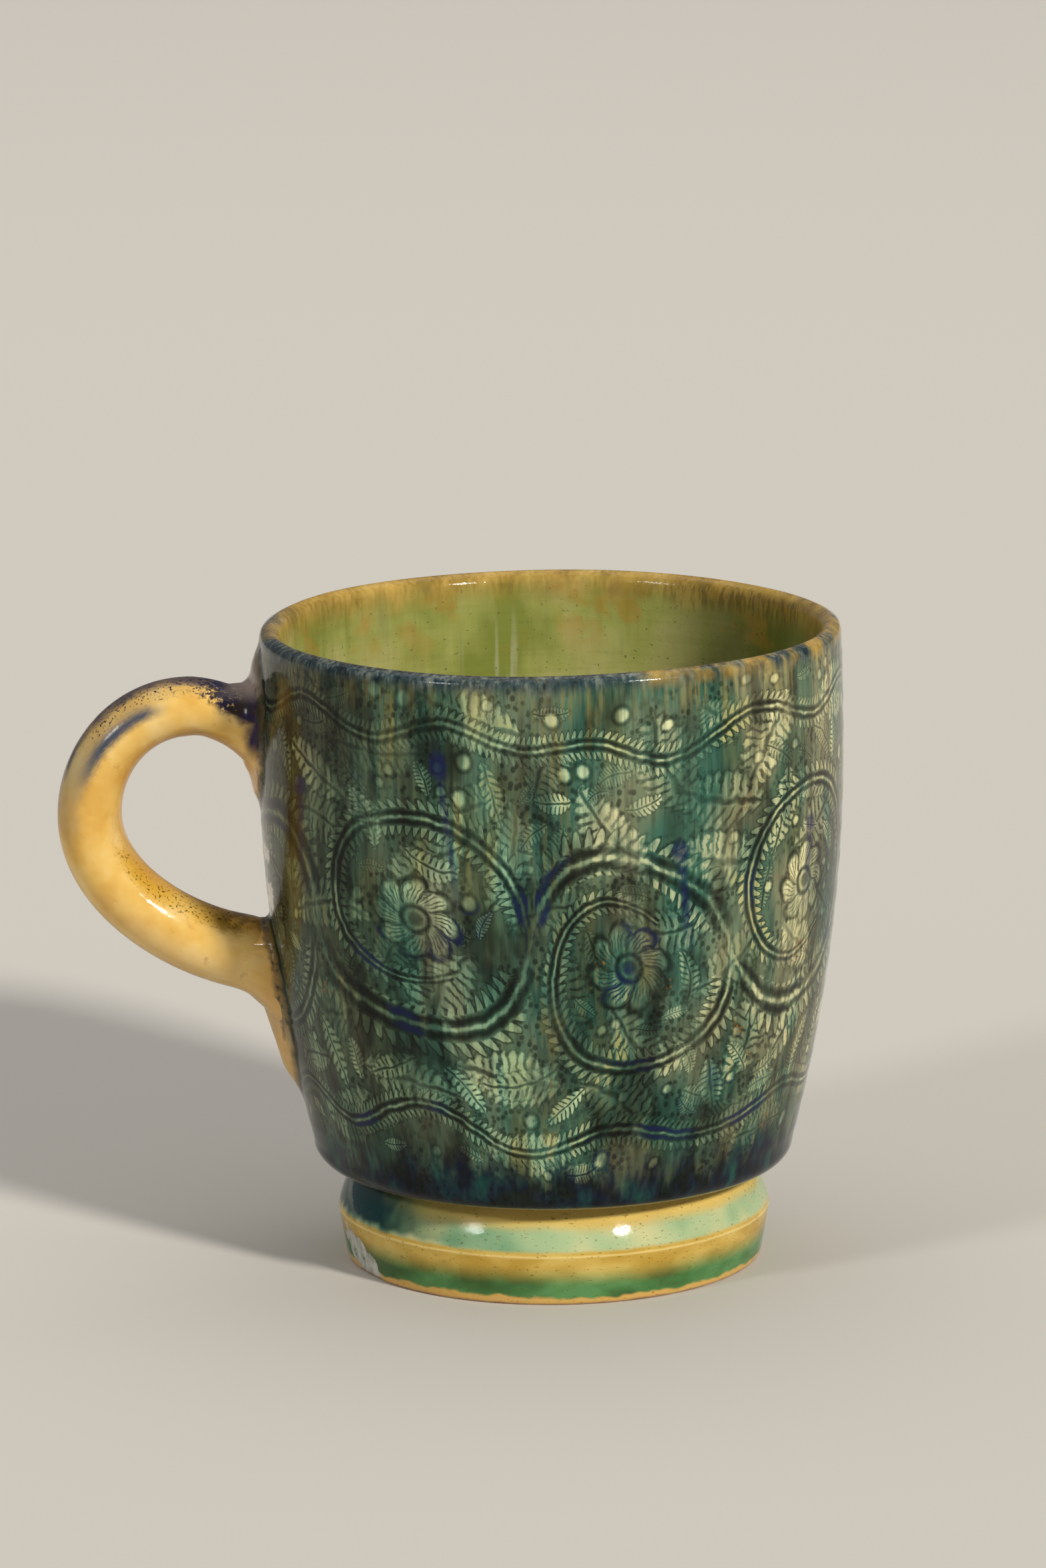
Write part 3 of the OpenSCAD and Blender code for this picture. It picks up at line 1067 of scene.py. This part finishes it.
def lip_paint(colour, point, x, y, lip):
    """Ochre and blue-grey glaze round the lip, with short streaks across it."""
    streaks = streaky(point, 0.15, 0.7, 2)
    runs = streaky(point, 0.08, 1.1, 3)
    patch = noise(point, 11, 2) - 0.5
    ochre = ramp(0.4 * streaks + 0.6 * noise(point, 5, 3), {
        0.36: "#84672c", 0.5: "#a8873f", 0.64: "#bf9d52"})
    blue = ramp(0.6 * streaks + 0.4 * noise(point, 3, 3), {
        0.38: "#18232c", 0.5: "#34434a", 0.62: "#72786e"})
    reach = 5 * (streaky(point, 0.2, 5, 3) - 0.5) + 3 * patch
    back = rise(y + 60 * patch, -6, 14)
    right = rise(x + 50 * patch, 2, 22) * rise(streaky(point, 0.25, 5, 2), 0.36, 0.6)
    warm = highest(back, right)
    inner = rise(lip, -1.4, 0.2) * fall(lip + reach, 1, 7)
    under = fall(8 * (runs - 0.5) + 1.6 * reach - lip, 2, 8) * fall(lip, -1, 0)
    smoke = rise(x, 8, 26) * rise(y, 0, 16) * rise(streaks, 0.42, 0.6) * band(lip + reach, 0.5, 5, 1.5)
    outer = fall(abs(lip + 1 + 0.3 * reach), 0.8, 3)
    return coats(
        colour,
        (ochre, 0.85 * inner),
        ("#17332a", 0.5 * under * rise(runs, 0.48, 0.62)),
        ("#bba85e", (0.12 + 0.38 * right) * under * fall(runs, 0.36, 0.54)),
        ("#3a331c", 0.6 * smoke),
        (ochre, 0.75 * outer * warm),
        (blue, 0.85 * outer * (1 - warm)))


def painted_glaze():
    Material("painted_glaze")
    point = place()
    x, y, z = split(point)
    lip = numbers("lip")
    colour = paint(wall_paint(point, x, y, z), inside_paint(point, x, y, z), rise(lip, -0.4, 0.6))
    colour = lip_paint(colour, point, x, y, lip)
    clay = ramp(noise(point, 4, 4), {0.35: "#8a6a48", 0.65: "#b8966c"})
    bare = fall(lip, heel_from_lip - 5, heel_from_lip - 3)
    colour = paint(colour, clay, bare)
    roughness = 0.07 + 0.12 * rise(noise(point, 6, 3), 0.45, 0.7) + 0.6 * bare
    return finish(colour, roughness, noise(point, 1.4, 2) + 0.6 * noise(point, 0.3, 1), cup_relief)


# The banded glaze of the foot, with heights in millimetres
edge_low_z = 0.75
edge_rise = 0.35
green_z = 2.8, 6.6
ridge_line_z = 7.5, 7.8
aqua_low_z = 8, 8.7
aqua_high_z = 10.6, 13.2
dark_run_z = 8, 9.4
neck_z = 11, 13
foot_relief = 0.03 * MM


def banded_glaze():
    Material("banded_glaze")
    point = place()
    x, y, z = split(point)
    waver = noise(point, 3, 1) - 0.5
    soft = noise(point, 12, 1) - 0.5
    flat = streaky(point, 2, 9, 2)
    yellow = ramp(flat, {0.36: "#ba963e", 0.5: "#c8a650", 0.64: "#d3b562"})
    green = ramp(flat, {0.35: "#17542f", 0.5: "#27703f", 0.65: "#448652"})
    aqua = ramp(noise(point, 14, 2), {0.36: "#5f9e7c", 0.5: "#9cbc92", 0.64: "#c8ca98"})
    clay = ramp(noise(point, 3, 4), {0.35: "#a88258", 0.65: "#c9a67a"})
    chip = ramp(noise(point, 1.6, 2), {0.4: "#a3a196", 0.6: "#c6c3b8"})
    edge_z = edge_low_z + edge_rise * fall(x, -12, 18)
    dark_run = fall(y, 2, 9) * rise(z + 2 * waver, *dark_run_z)
    specks = rise(noise(stretched(point, 0.6, 0.6, 1.6), 0.4, 1), 0.65, 0.74)
    lost = numbers("flake") * rise(noise(point, 1.6, 3), 0.3, 0.4)
    recess = rise(numbers("path"), foot_top_path + 0.5, foot_top_path + 2)
    bare = highest(recess, fall(z + 0.6 * waver, 0.2, 0.5))
    colour = coats(
        yellow,
        (green, 0.92 * fall(z + 1.2 * soft + 0.4 * waver, *green_z)),
        ("#d6a85c", 0.9 * fall(z + 1.4 * waver - edge_z, 0, 0.5)),
        (aqua, 0.85 * rise(z + 0.4 * waver, *aqua_low_z) * fall(z + 2 * soft, *aqua_high_z)),
        # yellow glaze at the neck, lightened further as painted light against the shade under the cup's heel
        ("#e2c068", 0.7 * rise(z + soft, *neck_z)),
        # pale line along the ridge: glaze thin on the edge, and partly a painted highlight
        ("#e6cf8a", 0.6 * band(z + 0.2 * waver, *ridge_line_z, 0.15)),
        ("#2c6e52", 0.75 * dark_run * fall(x + 10 * soft, -25, -9)),
        ("#0c2f38", 0.92 * dark_run * fall(x + 5 * waver, -27, -20.5)),
        ("#5a4418", 0.6 * specks),
        (chip, rise(lost, 0.3, 0.6)),
        (clay, bare))
    roughness = 0.08 + 0.1 * rise(noise(point, 5, 3), 0.45, 0.7) + 0.6 * highest(bare, lost)
    return finish(colour, roughness, noise(point, 1.3, 2), foot_relief)


# The amber glaze of the handle
root_z = 82.5
handle_relief = 0.04 * MM


def handle_paint(point):
    """Colour, roughness and relief of amber glaze with blue runs, worn edges, dark roots, and painted shade
    on the faces turned into the loop.
    """
    angle, outward, gap = triple("loop")
    height = split(point)[2] - root_z
    waver = noise(point, 5, 3) - 0.5
    ragged = noise(point, 1.6, 3) - 0.5
    specks = rise(noise(point, 0.45, 2), 0.57, 0.66)
    pale = fall(angle + 60 * waver, -70, -30) * rise(outward, -0.2, 0.5)
    flank = rise(outward + 0.3 * waver, 0.2, 0.6) * band(angle + 30 * waver, 0, 70, 20)
    streak = band(outward + 0.15 * waver + 0.0012 * angle, 0.28, 0.68, 0.24)
    streak = streak * rise(angle + 12 * waver, 2, 40) * fall(angle + 12 * waver, 64, 82)
    worn = rise(outward + 0.5 * waver, 0.6, 0.85) * band(angle + 40 * waver, 40, 140, 14)
    edge = rise(outward + 0.25 * waver + 0.0008 * angle, 0.93, 1.06) * band(angle, -5, 125, 20)
    sprinkled = band(outward + 0.25 * waver, -0.92, -0.6, 0.12) * band(angle, -130, -25, 16)
    upper = rise(angle, 60, 90)
    above = fall(gap - 1.7 * height + 4 * waver + 2.5 * ragged, 0, 3)
    beside = fall(gap + 3 * waver, 1.2, 3) * rise(height + 3 * waver, -6, -2.5)
    mottle = rise(noise(point, 0.7, 5, 0.75) - 0.03 * gap, 0.2, 0.32)
    navy = paint("#1a1320", "#070d3c", rise(noise(point, 3.5, 2), 0.4, 0.54))
    mauve = fall(gap + 3 * waver, 3, 6.5) * rise(height + 2 * waver, 3, 6)
    tan = fall(gap + 8 * waver, 1, 6)
    # Painted shade: dark olive-brown on the loop's inner faces near the lower root, by the wall.
    painted_root_shade = rise(outward * -1, 0.35, 0.7) * fall(gap + 5 * waver, 5, 11)
    painted_root_shade = painted_root_shade * (0.45 + 0.55 * rise(noise(point, 2.6, 3), 0.42, 0.58))
    colour = coats(
        ramp(noise(point, 8, 3), {0.36: "#d6a650", 0.5: "#e2b864", 0.64: "#e8c680"}),
        ("#e0bf86", 0.5 * pale),
        # painted shade: darker orange-brown on the faces turned into the loop
        ("#b98240", 0.5 * fall(outward + waver, -0.95, -0.6)),
        ("#a8743a", 0.4 * rise(noise(point, 2.2, 4), 0.64, 0.76)),
        ("#8c8670", 0.5 * flank),
        ("#1c3a58", 0.95 * streak),
        ("#b8924a", 0.5 * worn),
        ("#1d2230", worn * specks),
        ("#1a2240", 0.85 * edge),
        ("#c4940f", 0.55 * sprinkled),
        ("#3a2c10", 0.9 * sprinkled * specks),
        (navy, 0.97 * highest(above, beside) * mottle * upper),
        ("#a08e80", 0.85 * upper * mauve),
        ("#b98c50", 0.5 * (1 - upper) * tan),
        # painted shade near the lower root
        ("#4e3f18", 0.75 * (1 - upper) * painted_root_shade))
    roughness = 0.08 + 0.12 * rise(noise(point, 4, 3), 0.45, 0.7) + 0.2 * worn
    return colour, roughness, noise(point, 1.5, 2) + specks * worn


def amber_glaze():
    Material("amber_glaze")
    return finish(*handle_paint(place()), handle_relief)


# Slip at the joints, under glaze
slip_relief = 0.06 * MM
root_relief = 0.05 * MM


def slip_glaze():
    Material("foot_slip")
    point = place()
    colour = ramp(noise(point, 1.2, 4), {0.35: "#8a6a28", 0.65: "#b08a3a"})
    return finish(colour, 0.25, noise(point, 0.6, 3), slip_relief)


def root_glaze(name, crease_colour, crease_from, crease_to, crease_height):
    """The handle's glaze over a root's fillet, with a dark crease between these shares of the root's half
    height, up to this height over the wall, and the wall's green drawn over the thin rim."""
    Material(name)
    point = place()
    colour, roughness, relief = handle_paint(point)
    height = numbers("height")
    waver = noise(point, 2.5, 3) - 0.5
    mottle = rise(noise(point, 1, 4), 0.45, 0.7)
    crease = fall(height + 1.5 * waver, 0.5 * crease_height, crease_height)
    crease = crease * band(numbers("up") + waver, crease_from, crease_to, 0.1)
    colour = coats(
        colour,
        (crease_colour, (0.6 + 0.4 * mottle) * crease),
        ("#4a4522", 0.7 * fall(height + 0.8 * waver, 0.3, 1)),
        ("#15201b", fall(height + 0.5 * waver, 0.05, 0.4)))
    return finish(colour, roughness + 0.08 * crease, relief + 2 * mottle * crease, root_relief)


upper_slip = root_glaze("upper_slip", "#141a30", -0.5, 0.45, 0.9)
lower_slip = root_glaze("lower_slip", "#25282a", -0.15, 2, 1.9)
dressing = (
    (cup, "cup_body", "painted_glaze", painted_glaze()),
    (foot, "foot_ring", "banded_glaze", banded_glaze()),
    (handle, "handle", "amber_glaze", amber_glaze()),
    (foot_seam, "foot_slip_seam", "fired_slip", slip_glaze()),
    (upper_seam, "upper_slip_seam", "fired_slip", upper_slip),
    (lower_seam, "lower_slip_seam", "fired_slip", lower_slip),
)
for piece, cad_node, slot, material in dressing:
    piece.data.materials.append(material)
    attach(piece, "root")
    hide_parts(cad_node)


# Camera: fitted to the photograph, in pixels of its 1568 by 2351 frame
PHOTO_WIDTH_PX = 1568
FOCAL_PX = 12000
MUG_RIGHT_PX = 44
MUG_DOWN_PX = 213
camera_distance = 1199 * MM
camera_azimuth = math.radians(-3)
camera_elevation = math.radians(13.4)
camera_roll = math.radians(-0.35)
mug_middle = Vector((0, 0, 50 * MM))


def place_camera():
    back = Vector((
        math.sin(camera_azimuth) * math.cos(camera_elevation),
        -math.cos(camera_azimuth) * math.cos(camera_elevation),
        math.sin(camera_elevation)))
    level = Vector((math.cos(camera_azimuth), math.sin(camera_azimuth), 0))
    right = Matrix.Rotation(camera_roll, 3, back) @ level
    up = back.cross(right)
    away = back + right * (MUG_RIGHT_PX / FOCAL_PX) - up * (MUG_DOWN_PX / FOCAL_PX)
    away.normalize()
    right = (right - away * right.dot(away)).normalized()
    up = away.cross(right)
    data = bpy.data.cameras.new("camera")
    data.sensor_fit = "HORIZONTAL"
    data.lens = data.sensor_width * FOCAL_PX / PHOTO_WIDTH_PX
    camera = add_object("camera", data)
    camera.matrix_world = Matrix.Translation(mug_middle + back * camera_distance) @ Matrix((
        right, up, away)).transposed().to_4x4()
    scene.camera = camera


place_camera()


# Stage: a pale floor and soft light
def add_lamp(name, kind, source, strength, colour, **shape):
    """Shines a lamp from its source at the mug."""
    data = bpy.data.lights.new(name, kind)
    for key, value in shape.items():
        setattr(data, key, value)
    data.energy = strength
    data.color = colour
    lamp = add_object(name, data)
    lamp.location = source
    lamp.rotation_euler = (mug_middle - Vector(source)).to_track_quat("-Z", "Y").to_euler()


FLOOR_HALF = 4
FLOOR_COLOUR = "#cdc8be"
FLOOR_ROUGHNESS = 0.9
SKY_COLOUR = (0.5, 0.5, 0.52, 1)
SKY_STRENGTH = 0.35
corners = [(FLOOR_HALF * x, FLOOR_HALF * y, 0) for x, y in ((-1, -1), (1, -1), (1, 1), (-1, 1))]
floor = add_mesh("floor", corners, [(0, 1, 2, 3)])
Material("floor")
put(Material.now.shader.inputs["Base Color"], FLOOR_COLOUR)
put(Material.now.shader.inputs["Roughness"], FLOOR_ROUGHNESS)
floor.data.materials.append(Material.now.data)

add_lamp("key", "SUN", (0.62, -0.8, 0.62), 2.85, (1, 0.97, 0.92), angle=math.radians(7))
add_lamp("fill", "SUN", (-0.85, -0.7, 0.7), 0.75, (0.96, 0.98, 1), angle=math.radians(9))
add_lamp("top", "AREA", (0, 0.6, 2.4), 24, (1, 0.99, 0.97), size=2.6)

world = scene.world or bpy.data.worlds.new("world")
scene.world = world
world.use_nodes = True
sky = world.node_tree.nodes["Background"].inputs
sky["Color"].default_value = SKY_COLOUR
sky["Strength"].default_value = SKY_STRENGTH
scene.view_settings.view_transform = "Standard"
